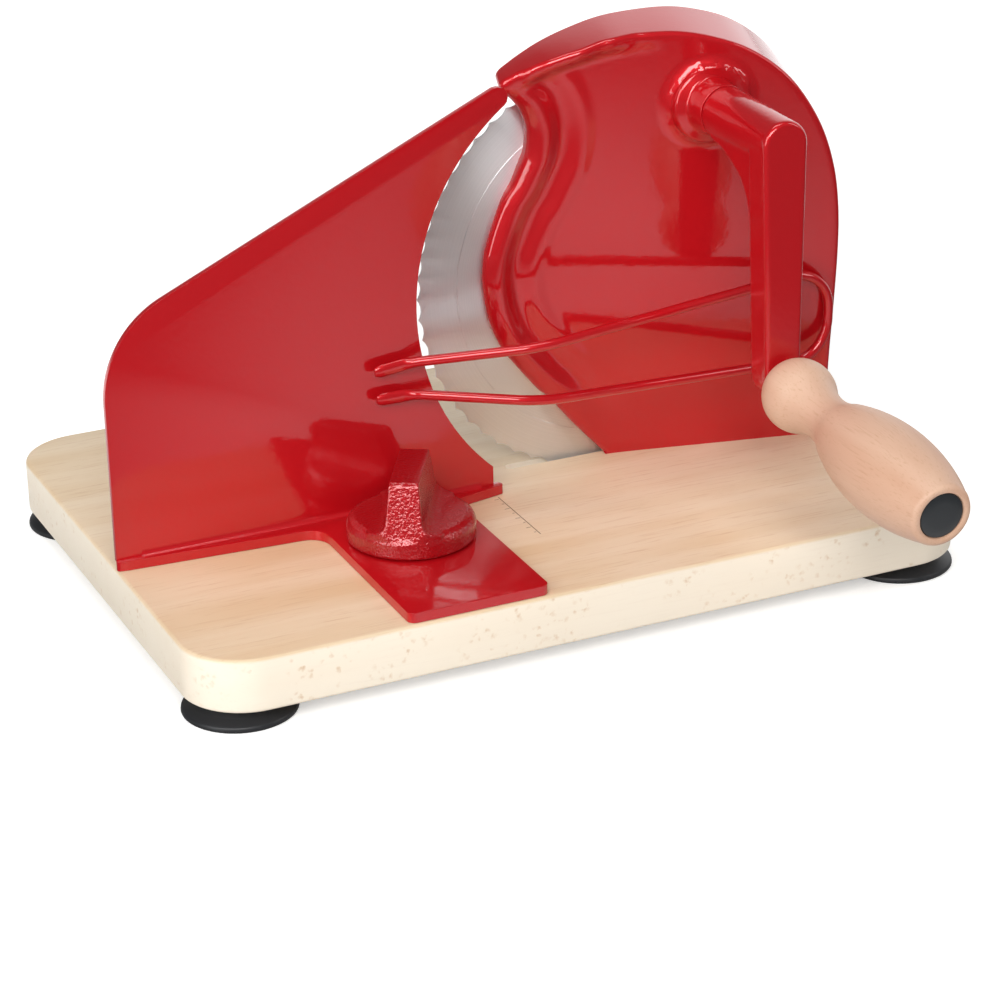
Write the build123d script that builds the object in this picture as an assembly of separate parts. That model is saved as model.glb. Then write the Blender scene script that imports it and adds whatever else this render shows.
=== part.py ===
from build123d import *
import math
import os

os.makedirs("parts", exist_ok=True)

# ---------------------------------------------------------------- driving sizes, mm
# X runs along the board, Y away from the user, Z up; Z = 0 is the table.
# The blade's front face lies on Y = 0 and the board is centred on X = 0, Y = 0.
BOARD_L, BOARD_W, BOARD_T, BOARD_R = 321.0, 234.0, 21.5, 25.0
FOOT_H, FOOT_R = 8.0, 22.0
FOOT_X, FOOT_Y = BOARD_L / 2 - 21.5, BOARD_W / 2 - 23.0
ZB = FOOT_H                     # underside of the board
ZT = FOOT_H + BOARD_T           # top of the board

BLADE_X, BLADE_Z, BLADE_R = 60.8, 107.6, 85.0
BLADE_T, BLADE_TEETH, SCALLOP = 1.5, 62, 1.4
GRIND_R = 68.5                  # where the hollow grind begins
SLOT_X0, SLOT_X1, SLOT_Y0, SLOT_Y1, SLOT_D = 11.9, 104.0, -1.4, 3.6, 11.0

MODULE = 1.5                    # gear train: crank gear, idler, blade gear
TEETH_CRANK, TEETH_IDLER, TEETH_BLADE = 24, 29, 20
TRAIN = 68.08                   # angle of the line of gear centres, from +X towards +Z
UX, UZ = math.cos(math.radians(TRAIN)), math.sin(math.radians(TRAIN))
D_BLADE_IDLER = MODULE * (TEETH_BLADE + TEETH_IDLER) / 2
D_TRAIN = D_BLADE_IDLER + MODULE * (TEETH_CRANK + TEETH_IDLER) / 2
IDLER_X, IDLER_Z = BLADE_X + D_BLADE_IDLER * UX, BLADE_Z + D_BLADE_IDLER * UZ
CRANK_X, CRANK_Z = BLADE_X + D_TRAIN * UX, BLADE_Z + D_TRAIN * UZ
GEAR_Y0, GEAR_Y1 = -5.4, -1.4

RUN = 0.05                      # radial clearance of a running fit
GAP = 0.3                       # gap between faces that pass each other

# front face of the housing: y = FACE_Y - FACE_A (x - FACE_X) - FACE_B (z - ZT)
FACE_A, FACE_B, FACE_X, FACE_Y = 0.235, 0.0905, 74.5, -9.2
EDGE_Y = -4.8                   # front face beside the blade, where the slice slides off
WALL, HOUSING_BACK = 3.2, 2.0
BOSS_FRONT = -40.0              # front of the crank's bearing boss
AXLE_FRONT, PIN_FRONT = -10.6, -16.8    # blind front ends of the blade's axle and the idler's pin

PLATE_Y0, PLATE_T, FOOT_T = -21.6, 2.5, 4.0
ZF = ZT + FOOT_T                # top of the plate's foot
PLATE_X0, PLATE_R, ARC_X, ARC_Z, ARC_R = -160.0, 42.0, 62.0, 111.5, 95.8
TONGUE_X0, TONGUE_X1, TONGUE_Y0 = -79.5, -22.9, -115.6
TRAVEL = 18.0                   # thickest slice
KNOB_X, KNOB_Y, KNOB_R = (TONGUE_X0 + TONGUE_X1) / 2, -51.0, 25.0
KNOB_H, BAR_W, BAR_TURN = 34.2, 12.4, 60.0
INSERT_R, INSERT_H, WASHER_R = 5.0, 18.0, 8.0
KEY_W, BOLT_R = 8.0, 3.0

SHAFT_R, BUSH_R = 5.0, 7.0
ARM_Y0, ARM_Y1, ARM_TOP_R, ARM_END_R, ARM_END_Z = -89.2, -75.4, 9.2, 7.3, 84.0
GRIP_TILT = 5.0                 # the grip droops a little, as in the photo
GRIP_L, GRIP_GAP, GRIP_NECK_R, GRIP_BELLY_R = 115.0, 1.9, 9.4, 18.0
GRIP_END = GRIP_L + GRIP_GAP
CAP_R, CAP_DEEP, SPINDLE_R = 8.9, 9.0, 3.0
WIRE_R = 2.0
GUARD_X, GUARD_Z = 118.0, 85.5  # screw that holds the wire guard's loop
EVERYWHERE = 900.0              # a cutting block larger than the object


# ---------------------------------------------------------------- small helpers
def cyl_y(x, z, r, y0, y1):
    return Pos(x, (y0 + y1) / 2, z) * Rot(90, 0, 0) * Cylinder(r, abs(y1 - y0))


def cyl_z(x, y, r, z0, z1):
    return Pos(x, y, (z0 + z1) / 2) * Cylinder(r, abs(z1 - z0))


def box(x0, x1, y0, y1, z0, z1):
    return Pos((x0 + x1) / 2, (y0 + y1) / 2, (z0 + z1) / 2) * Box(x1 - x0, y1 - y0, z1 - z0)


def turned_y(x, z, profile):
    """Solid of revolution about the Y line through (x, z); profile is a list of (r, y)."""
    ring = make_face(Polyline(*[(r, y) for r, y in profile], close=True))
    return Pos(x, 0, z) * revolve(ring, Axis.Y)


def turned_z(x, y, profile):
    """Solid of revolution about the Z line through (x, y); profile is a list of (r, z)."""
    ring = Plane.XZ * make_face(Polyline(*[(r, z) for r, z in profile], close=True))
    return Pos(x, y, 0) * revolve(ring, Axis.Z)


def slab_y(face_xz, y0, y1):
    """Face drawn in (x, z), pushed from y0 to y1."""
    return extrude(Plane.XZ.offset(-y0) * face_xz, amount=-(y1 - y0))


def slab_z(face_xy, z0, z1):
    return extrude(Plane.XY.offset(z0) * face_xy, amount=z1 - z0)


def area(*curves):
    """Face inside a closed chain of curves."""
    return make_face(Wire([edge for curve in curves for edge in curve.edges()]))


def face_y(x, z):
    return FACE_Y - FACE_A * (x - FACE_X) - FACE_B * (z - ZT)


def half_space(shift):
    """Everything behind the housing's tilted front face, moved back by shift."""
    n = Vector(FACE_A, 1, FACE_B).normalized()
    origin = Vector(CRANK_X, face_y(CRANK_X, CRANK_Z) + shift, CRANK_Z)
    return Plane(origin=origin, z_dir=n) * Pos(0, 0, EVERYWHERE / 2) * Box(EVERYWHERE, EVERYWHERE, EVERYWHERE)


def gear(x, z, teeth, y0, y1, tooth_at, bore):
    """Spur gear along Y with one tooth centred on the angle tooth_at (degrees)."""
    rp = MODULE * teeth / 2
    pts = []
    for k in range(round(teeth)):
        mid = math.radians(tooth_at) + 2 * math.pi * k / teeth
        step = 2 * math.pi / teeth
        for r, half in ((rp - 1.25 * MODULE, -0.30), (rp + MODULE, -0.12),
                        (rp + MODULE, 0.12), (rp - 1.25 * MODULE, 0.30)):
            pts.append((r * math.cos(mid + half * step), r * math.sin(mid + half * step)))
    flat = make_face(Polyline(*pts, close=True)) - Circle(bore)
    return Pos(x, 0, z) * slab_y(flat, y0, y1)


def save(name, *solids):
    shape = solids[0] if len(solids) == 1 else Compound(children=list(solids))
    export_step(shape, f"parts/{name}.step")


# ---------------------------------------------------------------- board, feet, guide keys
def base_board():
    board = slab_z(RectangleRounded(BOARD_L, BOARD_W, BOARD_R), ZB, ZT)
    board = chamfer(board.edges().filter_by(Plane.XY), 1.2)
    slot = Pos((SLOT_X0 + SLOT_X1) / 2, (SLOT_Y0 + SLOT_Y1) / 2) * SlotOverall(
        SLOT_X1 - SLOT_X0, SLOT_Y1 - SLOT_Y0)
    board -= slab_z(slot, ZT - SLOT_D, ZT + 1)
    for x, y in FEET:
        board -= cyl_z(x, y, 2.0, ZB - 1, ZB + 14)
    for x, y, r in HOUSING_SCREWS:
        board -= cyl_z(x, y, 2.3, ZB - 1, ZT + 1)
        board -= cyl_z(x, y, 4.5, ZB - 1, ZB + 5)
    board -= cyl_z(KNOB_X, KNOB_Y, BOLT_R + 0.3, ZB - 1, ZT + 1)
    board -= cyl_z(KNOB_X, KNOB_Y, 9.0, ZB - 1, ZB + 5)
    for y0, y1 in KEYS:
        board -= box(KNOB_X - KEY_W / 2, KNOB_X + KEY_W / 2, y0, y1, ZT - 4, ZT + 1)
    return board


def suction_foot(x, y):
    cup = turned_z(x, y, [(0, 3.0), (15, 0.6), (FOOT_R - 4, 0), (FOOT_R - 0.5, 0),
                          (FOOT_R, 0.8), (FOOT_R - 2.5, 3.2), (16, 5.2), (13.5, ZB), (0, ZB)])
    cup -= cyl_z(x, y, 2.4, 1, ZB + 1)
    return cup - cyl_z(x, y, 4.6, -1, 5.2)


def foot_screw(x, y):
    return cyl_z(x, y, 4.2, 3.2, 5.2) + cyl_z(x, y, 2.0, 5.2, ZB + 13)


def guide_key(y0, y1):
    return box(KNOB_X - KEY_W / 2, KNOB_X + KEY_W / 2, y0, y1, ZT - 4, ZT + 1.8)


# ---------------------------------------------------------------- stop plate and its clamp
def plate_outline():
    """Tall sheet: big round corner at the left, sloped top, edge concentric with the blade."""
    slope, zc, xc = 0.45, 141.6, -119.8
    ang = math.atan(slope)
    run = PLATE_R * math.tan((math.pi / 2 - ang) / 2)
    corner = (PLATE_X0, zc + slope * (PLATE_X0 - xc))
    a = (PLATE_X0, corner[1] - run)
    b = (corner[0] + run * math.cos(ang), corner[1] + run * math.sin(ang))
    c = (PLATE_X0 + PLATE_R, a[1])
    mid_ang = math.radians(90 + math.degrees(ang) + (90 - math.degrees(ang)) / 2)
    m = (c[0] + PLATE_R * math.cos(mid_ang), c[1] + PLATE_R * math.sin(mid_ang))
    tip = (2.2, 191.6)
    tr = 4.3
    t0 = (tip[0] - tr * math.sin(ang), tip[1] + tr * math.cos(ang))
    away = math.atan2(tip[1] - ARC_Z, tip[0] - ARC_X)
    t1 = (ARC_X + ARC_R * math.cos(away), ARC_Z + ARC_R * math.sin(away))
    tm = (tip[0] + tr * math.cos(math.radians(12)), tip[1] + tr * math.sin(math.radians(12)))
    low_z = ZF + 8
    low = (ARC_X - math.sqrt(ARC_R ** 2 - (ARC_Z - low_z) ** 2), low_z)
    return area(Line((low[0], ZF), (PLATE_X0, ZF)), Line((PLATE_X0, ZF), a), ThreePointArc(a, m, b),
                Line(b, t0), ThreePointArc(t0, tm, t1),
                ThreePointArc(t1, (ARC_X - ARC_R, ARC_Z), low), Line(low, (low[0], ZF)))


def stop_plate():
    sheet = slab_y(plate_outline(), PLATE_Y0, PLATE_Y0 + PLATE_T)
    tab = box(PLATE_X0 + 8, -10, PLATE_Y0, PLATE_Y0 + PLATE_T, ZF - 2, ZF)
    return sheet + tab


def foot_outline():
    y1 = PLATE_Y0 + PLATE_T
    pts = [(PLATE_X0 + 4, y1), (PLATE_X0 - 0.4, y1 - 2.2), (PLATE_X0, PLATE_Y0 - 1), (PLATE_X0 + 4, -23.8),
           (TONGUE_X0 - 9, -28.6)]
    left = (TONGUE_X0, -37.0)
    cr = 3.0
    edge = [*Polyline(*pts).edges(), ThreePointArc(pts[-1], (TONGUE_X0 - 2.4, -31.0), left),
            Line(left, (TONGUE_X0, TONGUE_Y0 + cr)),
            ThreePointArc((TONGUE_X0, TONGUE_Y0 + cr), (TONGUE_X0 + 0.9, TONGUE_Y0 + 0.9),
                          (TONGUE_X0 + cr, TONGUE_Y0)),
            Line((TONGUE_X0 + cr, TONGUE_Y0), (TONGUE_X1 - cr, TONGUE_Y0)),
            ThreePointArc((TONGUE_X1 - cr, TONGUE_Y0), (TONGUE_X1 - 0.9, TONGUE_Y0 + 0.9),
                          (TONGUE_X1, TONGUE_Y0 + cr)),
            Line((TONGUE_X1, TONGUE_Y0 + cr), (TONGUE_X1, -34.0)),
            ThreePointArc((TONGUE_X1, -34.0), (TONGUE_X1 + 1.6, -28.6), (TONGUE_X1 + 6, -26.4)),
            Line((TONGUE_X1 + 6, -26.4), (-5.6, -24.0)),
            ThreePointArc((-5.6, -24.0), (-0.2, -22.8), (1.4, PLATE_Y0 + 0.2)),
            Line((1.4, PLATE_Y0 + 0.2), (-1.0, y1)), Line((-1.0, y1), pts[0])]
    return area(*edge)


def plate_foot():
    foot = slab_z(foot_outline(), ZT + 0.1, ZF)
    foot -= box(PLATE_X0 + 8, -10, PLATE_Y0, PLATE_Y0 + PLATE_T + 1, ZF - 2, ZF + 1)
    foot += box(PLATE_X0 + 6, -8, PLATE_Y0, PLATE_Y0 + PLATE_T, ZT + 0.1, ZF - 2)
    y1 = KNOB_Y + BOLT_R + 0.4
    y0 = KNOB_Y - TRAVEL - BOLT_R - 0.4
    foot -= slab_z(Pos(KNOB_X, (y0 + y1) / 2) * Rot(0, 0, 90) * SlotOverall(y1 - y0, 2 * BOLT_R + 0.6),
                   ZT - 1, ZF + 1)
    g = KEY_W / 2 + 0.1
    foot -= box(KNOB_X - g, KNOB_X + g, -112.0, -24.5, ZT - 1, ZT + 2.1)
    return foot


def clamp_bolt():
    head = cyl_z(KNOB_X, KNOB_Y, 6.5, ZB + 1.2, ZB + 5)
    return head + cyl_z(KNOB_X, KNOB_Y, BOLT_R, ZB + 5, ZF + INSERT_H + 2)


def knob_washer():
    ring = cyl_z(KNOB_X, KNOB_Y, WASHER_R, ZF + RUN, ZF + 1.2)
    return ring - cyl_z(KNOB_X, KNOB_Y, BOLT_R + GAP, ZF - 1, ZF + 3)


def knob_insert():
    return cyl_z(KNOB_X, KNOB_Y, INSERT_R, ZF + 1.6, ZF + INSERT_H) - cyl_z(
        KNOB_X, KNOB_Y, BOLT_R + RUN, ZF, ZF + INSERT_H + 1)


def clamp_knob():
    """Cast disc with a tall thumb bar; the bar's sides sweep out into the disc's flat top."""
    z0 = ZF + GAP
    disc = turned_z(0, 0, [(0, z0), (KNOB_R - 0.8, z0), (KNOB_R, z0 + 0.9), (KNOB_R, z0 + 6.2),
                           (KNOB_R - 1.2, z0 + 8.4), (KNOB_R - 3.5, z0 + 9.4), (0, z0 + 10.2)])
    ends = make_face(Polyline((-23.8, z0 + 2), (23.8, z0 + 2), (23.2, z0 + 20.4), (21.4, z0 + 21.4),
                              (13.0, z0 + KNOB_H), (-13.0, z0 + KNOB_H), (-21.4, z0 + 21.4),
                              (-23.2, z0 + 20.4), close=True))
    w, foot_w = BAR_W / 2, 14.5
    sides = area(Line((-foot_w, z0 + 2), (foot_w, z0 + 2)), Line((foot_w, z0 + 2), (foot_w, z0 + 9.8)),
                 ThreePointArc((foot_w, z0 + 9.8), (w + 2.4, z0 + 12.4), (w + 0.4, z0 + 18)),
                 Line((w + 0.4, z0 + 18), (w - 0.3, z0 + KNOB_H)),
                 Line((w - 0.3, z0 + KNOB_H), (0.3 - w, z0 + KNOB_H)),
                 Line((0.3 - w, z0 + KNOB_H), (-w - 0.4, z0 + 18)),
                 ThreePointArc((-w - 0.4, z0 + 18), (-w - 2.4, z0 + 12.4), (-foot_w, z0 + 9.8)),
                 Line((-foot_w, z0 + 9.8), (-foot_w, z0 + 2)))
    bar = slab_y(ends, -foot_w, foot_w) & extrude(Plane.YZ.offset(-KNOB_R) * sides, amount=2 * KNOB_R)
    bar &= cyl_z(0, 0, KNOB_R - 0.3, z0, z0 + KNOB_H + 1)
    knob = Pos(KNOB_X, KNOB_Y, 0) * Rot(0, 0, BAR_TURN) * (disc + bar)
    knob -= cyl_z(KNOB_X, KNOB_Y, INSERT_R, z0 - 1, ZF + INSERT_H)
    knob -= cyl_z(KNOB_X, KNOB_Y, BOLT_R + 0.4, z0, ZF + INSERT_H + 4)
    return knob - cyl_z(KNOB_X, KNOB_Y, WASHER_R + 1, z0 - 1, ZF + 1.5)


# ---------------------------------------------------------------- housing
S_EDGE = [(56.6, ZT), (43.3, 44.3), (31.0, 59.2), (27.3, 62.6), (16.4, 76.4), (12.2, 82.4), (9.2, 88.7),
          (6.4, 97.1), (4.7, 107.1), (4.5, 115.7), (5.9, 124.7), (13.1, 144.1), (17.2, 150.7),
          (20.7, 158.2), (22.8, 163.3), (23.7, 171.1), (23.1, 175.9), (20.9, 181.6), (17.4, 186.2),
          (13.0, 190.0)]
RIM = [(151.5, ZT), (152.1, 65.0), (153.2, 92.0), (153.8, 115.0), (153.2, 133.0), (150.6, 150.5),
       (144.6, 168.2), (134.6, 184.6), (124.8, 194.6), (112.6, 202.6), (99.5, 207.6), (86.0, 210.6),
       (70.5, 211.3), (56.0, 210.6), (42.2, 207.7), (30.5, 204.0), (21.0, 199.6), (14.6, 196.0)]
LIP = [(9.0, 3.0), (9.2, -1.0), (11.2, -6.0), (15.0, -11.5), (20.0, -15.5), (27.0, -19.0), (36.0, -21.3),
       (48.0, -22.2), (62.0, -22.6), (62.0, 3.0)]


def inset(points, d):
    """Points moved d to their left, seen along the way they run."""
    out = []
    for i, (x, z) in enumerate(points):
        ax, az = points[max(i - 1, 0)]
        bx, bz = points[min(i + 1, len(points) - 1)]
        n = math.hypot(bx - ax, bz - az)
        out.append((x - d * (bz - az) / n, z + d * (bx - ax) / n))
    return out


def housing_outline():
    """Closed outline in (x, z): floor, right side, rim over the top, tip, slice edge."""
    rim = RIM
    edge = list(reversed(S_EDGE))
    rim_curve = Spline(*rim[3:])
    slice_curve = Spline(*edge)
    return area(Line(edge[-1], rim[0]), Polyline(*rim[:4]), rim_curve, Line(rim[-1], edge[0]),
                slice_curve)


def room_outline(rim_in, edge_in):
    """The hollow inside that outline, a wall's thickness smaller and kept off the sharp tip."""
    rim = inset(RIM, rim_in)[:-1]
    edge = inset(list(reversed(S_EDGE)), edge_in)[3:]
    rim[0] = (rim[0][0], ZT - 20)
    edge[-1] = (edge[-1][0] + 18, ZT - 20)
    return area(Polyline(*rim, *edge, close=True))


def oblique(face, length):
    """Pushes a face on Y = HOUSING_BACK forward, square to the tilted front face."""
    placed = Plane.XZ.offset(-HOUSING_BACK) * face
    return extrude(placed, amount=length, dir=Vector(-FACE_A, -1, -FACE_B))


def housing():
    body = oblique(housing_outline(), 48)
    outer = (body & half_space(0)) + (body & box(-20, 90, EDGE_Y, 10, ZT, 230))
    outer &= box(-20, 200, -60, 10, ZT, 230)
    room = Pos(0, 1.2, 0) * oblique(room_outline(WALL, 4.5), 60)
    room &= box(-20, 200, -60, 10, ZT + 4, 230)
    hollow = (room & half_space(WALL)) + (room & box(-20, 90, EDGE_Y + 3.0, 10, ZT, 230))
    shell = outer - hollow
    lip = (body - room) & slab_z(make_face(Polyline(*LIP, close=True)), 178, 215)
    shell += lip
    shell += turned_y(CRANK_X, CRANK_Z, [(0, -8), (10, -8), (10, -21), (15.5, -21), (15.5, -28.6),
                                         (14.7, -30.3), (12.6, -31.4), (11.3, -33.0), (10.7, -35.5),
                                         (10.4, BOSS_FRONT), (0, BOSS_FRONT)])
    inner_bosses = cyl_y(BLADE_X, BLADE_Z, 8.0, -12.4, -6.2) + cyl_y(IDLER_X, IDLER_Z, 7.0, -18, -6.2)
    shell += inner_bosses & half_space(WALL / 2)
    for x, y, r in HOUSING_SCREWS:
        shell += cyl_z(x, y, r, ZT, ZT + 22)
    shell -= cyl_y(CRANK_X, CRANK_Z, BUSH_R, -18, -7) + cyl_y(CRANK_X, CRANK_Z, BUSH_R, BOSS_FRONT - 1, -31)
    shell -= cyl_y(CRANK_X, CRANK_Z, 5.6, -32, -17)
    shell -= cyl_y(BLADE_X, BLADE_Z, 4.0, AXLE_FRONT, -5) + cyl_y(IDLER_X, IDLER_Z, SPINDLE_R, PIN_FRONT, -5)
    for x, y, r in HOUSING_SCREWS:
        shell -= cyl_z(x, y, 2.0, ZT - 1, ZT + 18)
    shell -= cyl_y(BLADE_X, BLADE_Z, BLADE_R + 1.5, -0.8, HOUSING_BACK + 1)
    return shell - cyl_y(GUARD_X, GUARD_Z, 2.0, -33, -18)


def housing_screw(x, y):
    return cyl_z(x, y, 4.2, ZB + 2.2, ZB + 5) + cyl_z(x, y, 2.0, ZB + 5, ZT + 17)


# ---------------------------------------------------------------- blade and gear train
def blade():
    pts = []
    for k in range(BLADE_TEETH):
        a = 2 * math.pi * k / BLADE_TEETH
        pts.append((BLADE_R * math.cos(a), BLADE_R * math.sin(a)))
    arcs = []
    for k in range(BLADE_TEETH):
        a = 2 * math.pi * (k + 0.5) / BLADE_TEETH
        m = ((BLADE_R - SCALLOP) * math.cos(a), (BLADE_R - SCALLOP) * math.sin(a))
        arcs.append(ThreePointArc(pts[k], m, pts[(k + 1) % BLADE_TEETH]))
    disc = slab_y(area(*arcs), 0, BLADE_T)
    ground = revolve(make_face(Polyline((6.0, 0), (GRIND_R, 0), (BLADE_R + 1, BLADE_T - 0.35),
                                        (BLADE_R + 1, BLADE_T), (6.0, BLADE_T), close=True)), Axis.Y)
    disc = Pos(BLADE_X, 0, BLADE_Z) * (disc & ground)
    for x, z in RIVETS:
        disc -= cyl_y(x, z, 1.5, -1, 4)
    return disc


def blade_gear():
    g = gear(BLADE_X, BLADE_Z, TEETH_BLADE, GEAR_Y0, GEAR_Y1, TRAIN + 180.0 / TEETH_BLADE, 6.0)
    g += cyl_y(BLADE_X, BLADE_Z, 15.0, GEAR_Y1, 0) - cyl_y(BLADE_X, BLADE_Z, 6.0, -9, 2)
    for x, z in RIVETS:
        g -= cyl_y(x, z, 1.5, -9, 4)
    return g


def blade_rivet(x, z):
    return cyl_y(x, z, 1.5, GEAR_Y0, BLADE_T) + cyl_y(x, z, 2.6, BLADE_T, BLADE_T + 0.5)


def idler_gear():
    tooth = TRAIN + 180.0 / TEETH_IDLER
    return gear(IDLER_X, IDLER_Z, TEETH_IDLER, GEAR_Y0, GEAR_Y1, tooth, SPINDLE_R + RUN)


def drive_gear():
    return gear(CRANK_X, CRANK_Z, TEETH_CRANK, GEAR_Y0, GEAR_Y1, TRAIN + 180.0, SHAFT_R)


def ring_y(x, z, r_out, r_in, y0, y1):
    return cyl_y(x, z, r_out, y0, y1) - cyl_y(x, z, r_in, y0 - 1, y1 + 1)


def blade_axle():
    pin = cyl_y(BLADE_X, BLADE_Z, 4.0, AXLE_FRONT, BLADE_T + 0.1)
    return pin - cyl_y(BLADE_X, BLADE_Z, 2.5, -5, BLADE_T + 1)


def blade_screw():
    """Retaining screw at the back with a coin slot; the slice side never meets it."""
    x, z = BLADE_X, BLADE_Z
    head = turned_y(x, z, [(0, 2.6), (11, 2.6), (11, 4.2), (9.6, 5.2), (0, 5.8)])
    head -= box(x - 8, x + 8, 4.2, 7, z - 0.9, z + 0.9)
    return head + cyl_y(x, z, 2.5, -4.6, 2.6)


# ---------------------------------------------------------------- crank and grip
def crank_arm():
    hub = turned_y(CRANK_X, CRANK_Z, [(0, BOSS_FRONT - GAP), (10.2, BOSS_FRONT - GAP), (10.3, -41.5),
                                      (9.4, ARM_Y0 + 1.2), (8.4, ARM_Y0), (0, ARM_Y0)])
    a0 = (CRANK_X - ARM_TOP_R, CRANK_Z)
    a1 = (CRANK_X + ARM_TOP_R, CRANK_Z)
    b1 = (CRANK_X + ARM_END_R, ARM_END_Z)
    b0 = (CRANK_X - ARM_END_R, ARM_END_Z)
    face = area(ThreePointArc(a0, (CRANK_X, CRANK_Z + ARM_TOP_R), a1), Line(a1, b1),
                ThreePointArc(b1, (CRANK_X, ARM_END_Z - ARM_END_R), b0), Line(b0, a0))
    arm = slab_y(face, ARM_Y0, ARM_Y1)
    arm = chamfer(arm.faces().sort_by(Axis.Y)[0].edges(), 0.8)
    web = area(Line((-42.0, CRANK_Z), (-80.0, CRANK_Z)), Line((-80.0, CRANK_Z), (-80.0, 142.0)),
               Line((-80.0, 142.0), (ARM_Y1, 142.0)),
               ThreePointArc((ARM_Y1, 142.0), (-68.6, 158.6), (-54.0, 167.4)),
               Line((-54.0, 167.4), (-42.0, 170.0)), Line((-42.0, 170.0), (-42.0, CRANK_Z)))
    arm += extrude(Plane.YZ.offset(CRANK_X - 7.6) * web, amount=15.2)
    crank = hub + arm + grip_axis() * cyl_y(0, 0, 7.0, -1.6, 6.0)
    crank -= cyl_y(CRANK_X, CRANK_Z, SHAFT_R, -70, -38)
    crank -= cyl_z(CRANK_X, -50.0, 1.5, CRANK_Z - 14, CRANK_Z + 5.6)
    return crank - grip_axis() * cyl_y(0, 0, SPINDLE_R, -3, 11.5)


def grip_axis():
    """Frame of the grip: its own Y runs inwards along the spindle, from the arm's face."""
    return Pos(CRANK_X, ARM_Y0, ARM_END_Z) * Rot(GRIP_TILT, 0, 0)


def crank_shaft():
    rod = cyl_y(CRANK_X, CRANK_Z, SHAFT_R, -70, -0.9)
    return rod - cyl_z(CRANK_X, -50.0, 1.5, CRANK_Z - 14, CRANK_Z + 14)


def grip():
    """Turned grip: round bulb at the arm, narrow neck, long belly and a recess for the cap."""
    tail = GRIP_END - 3.3
    outline = area(ThreePointArc((10.4, -GRIP_GAP), (14.3, -10.5), (12.2, -20.5)),
                   ThreePointArc((12.2, -20.5), (GRIP_NECK_R, -32.0), (12.6, -47.5)),
                   ThreePointArc((12.6, -47.5), (GRIP_BELLY_R, -(47.5 + tail) / 2), (12.6, -tail)),
                   Polyline((12.6, -tail), (11.8, -GRIP_END + 0.7), (10.8, -GRIP_END), (0, -GRIP_END),
                            (0, -GRIP_GAP), (10.4, -GRIP_GAP)))
    body = revolve(outline, Axis.Y)
    body -= cyl_y(0, 0, SPINDLE_R + RUN, -GRIP_END - 1, 0)
    body -= cyl_y(0, 0, CAP_R, -GRIP_END - 1, -GRIP_END + CAP_DEEP)
    return grip_axis() * body


def grip_spindle():
    head = -GRIP_END + CAP_DEEP - GAP
    rod = cyl_y(0, 0, SPINDLE_R, head, 11.0) + cyl_y(0, 0, 5.4, head - 3.6, head)
    return grip_axis() * rod


def grip_cap():
    """Plug pressed into the end of the grip, a little below its rim, with a soft edge."""
    face = -GRIP_END + 0.4
    ring = [(0, face), (CAP_R - 0.5, face), (CAP_R, face + 0.5), (CAP_R, face + 4.0), (0, face + 4.0)]
    return grip_axis() * turned_y(0, 0, ring)


# ---------------------------------------------------------------- wire guard
WIRE = [(-40.0, -25.7, 93.4), (8.3, -42.8, 97.0), (141.2, -33.6, 104.9), (139.6, -33.6, 66.2),
        (8.3, -42.8, 74.7), (-40.0, -25.7, 80.2)]
BENDS = [50.0, 16.0, 16.0, 50.0]


def guard_path():
    """Straight runs joined by tangent bends, out along the upper leg and back along the lower."""
    return FilletPolyline(*WIRE, radius=BENDS)


def guard_rod(r):
    path = guard_path()
    return sweep(Plane(origin=path @ 0, z_dir=path % 0) * Circle(r), path=path)


def wire_guard():
    paddle = slab_y(RectangleRounded(15.5, 5.0, 2.0), -1.3, 1.3)
    upper = Pos(-46.3, -25.8, 92.7) * Rot(0, -3, -3) * paddle
    lower = Pos(-46.0, -25.8, 80.4) * Rot(0, 1, -3) * paddle
    return guard_rod(WIRE_R) + upper + lower


def guard_block():
    """Wedge between the housing's tilted face and the wire, so that the loop stands square."""
    block = box(GUARD_X - 6, GUARD_X + 6, -31.6, -10, GUARD_Z - 21.5, GUARD_Z + 21.5)
    return block - half_space(0) - cyl_y(GUARD_X, GUARD_Z, 2.0, -33, -5)


def guard_clamp():
    bar = box(GUARD_X - 5.6, GUARD_X + 5.6, -38.6, -34.6, GUARD_Z - 23, GUARD_Z + 23)
    return bar - guard_rod(WIRE_R + 0.1) - cyl_y(GUARD_X, GUARD_Z, 2.3, -40, -33)


def guard_screw():
    head = turned_y(GUARD_X, GUARD_Z, [(0, -38.6), (4.6, -38.6), (4.6, -40.2), (3.4, -41.4), (0, -41.6)])
    return head + cyl_y(GUARD_X, GUARD_Z, 2.0, -38.6, -22.6)


# ---------------------------------------------------------------- build
FEET = [(sx * FOOT_X, sy * FOOT_Y) for sx in (-1, 1) for sy in (-1, 1)]
HOUSING_SCREWS = [(84.0, -6.4, 4.0), (112.0, -11.0, 5.0), (141.0, -14.0, 5.0)]
KEYS = [(-92.0, -66.0), (-42.5, -27.0)]
RIVETS = [(BLADE_X + 10.0 * math.cos(math.radians(a)), BLADE_Z + 10.0 * math.sin(math.radians(a)))
          for a in (90, 210, 330)]

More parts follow.
